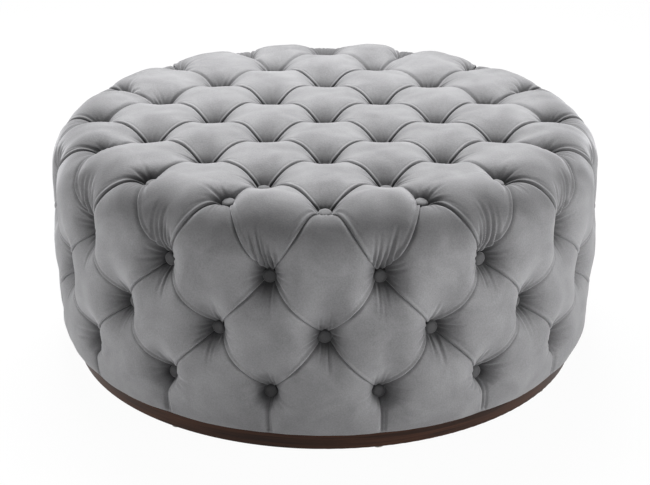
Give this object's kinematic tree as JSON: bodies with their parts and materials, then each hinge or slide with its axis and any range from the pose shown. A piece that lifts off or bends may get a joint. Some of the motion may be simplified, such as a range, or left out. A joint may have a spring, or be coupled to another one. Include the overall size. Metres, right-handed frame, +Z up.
{
  "type": "ottoman coffee table",
  "caption": "Round low ottoman coffee table with deep diamond-tufted velvet over a padded wood drum, on a recessed dark wood plinth.",
  "frame": {"origin": "on the floor, under the middle of the drum", "axes": "+Z up along the drum's axis; -Y is the front, as pictured; +X to the right"},
  "size_m": [1, 1, 0.4454],
  "materials": {
    "grey_velvet": "soft short-pile velvet",
    "polyester_wadding": "loose fibre",
    "foam": "open-cell polyurethane foam, modelled as its envelope",
    "plywood": "unfinished plywood",
    "frame_wood": "unfinished softwood",
    "bent_board": "thin bent hardboard",
    "fibreboard": "pressed fibre",
    "twine": "waxed nylon twine",
    "button_metal": "zinc-plated",
    "screw_steel": "zinc-plated",
    "staple_steel": "galvanised",
    "black_cambric": "non-woven cloth",
    "espresso_wood": "dark brown satin stain",
    "nylon": "moulded"
  },
  "bodies": {
    "root": {"velvet_cover": "grey_velvet", "top_buttons": "grey_velvet", "rim_buttons": "grey_velvet", "upper_row_buttons": "grey_velvet", "middle_row_buttons": "grey_velvet", "lower_row_buttons": "grey_velvet", "button_backs": "button_metal", "top_twines": "twine", "side_twines": "twine", "top_toggles": "fibreboard", "side_toggles": "fibreboard", "post_screws": "screw_steel", "deck_screws": "screw_steel", "plinth_screws": "screw_steel", "rail_screws": "screw_steel", "hem_staples": "staple_steel", "dust_cover_staples": "staple_steel", "wadding": "polyester_wadding", "side_foam": "foam", "top_foam": "foam", "wall_board": "bent_board", "joint_straps": "bent_board", "top_deck": "plywood", "deck_battens": "frame_wood", "inner_posts": "frame_wood", "posts": "frame_wood", "mid_ring": "plywood", "ring_cleats": "frame_wood", "bottom_ring": "plywood", "long_rail": "frame_wood", "cross_rail": "frame_wood", "dust_cover": "black_cambric", "plinth_ring": "espresso_wood", "plinth_blocks": "frame_wood", "glides": "nylon", "glide_nails": "screw_steel"}
  },
  "joints": []
}
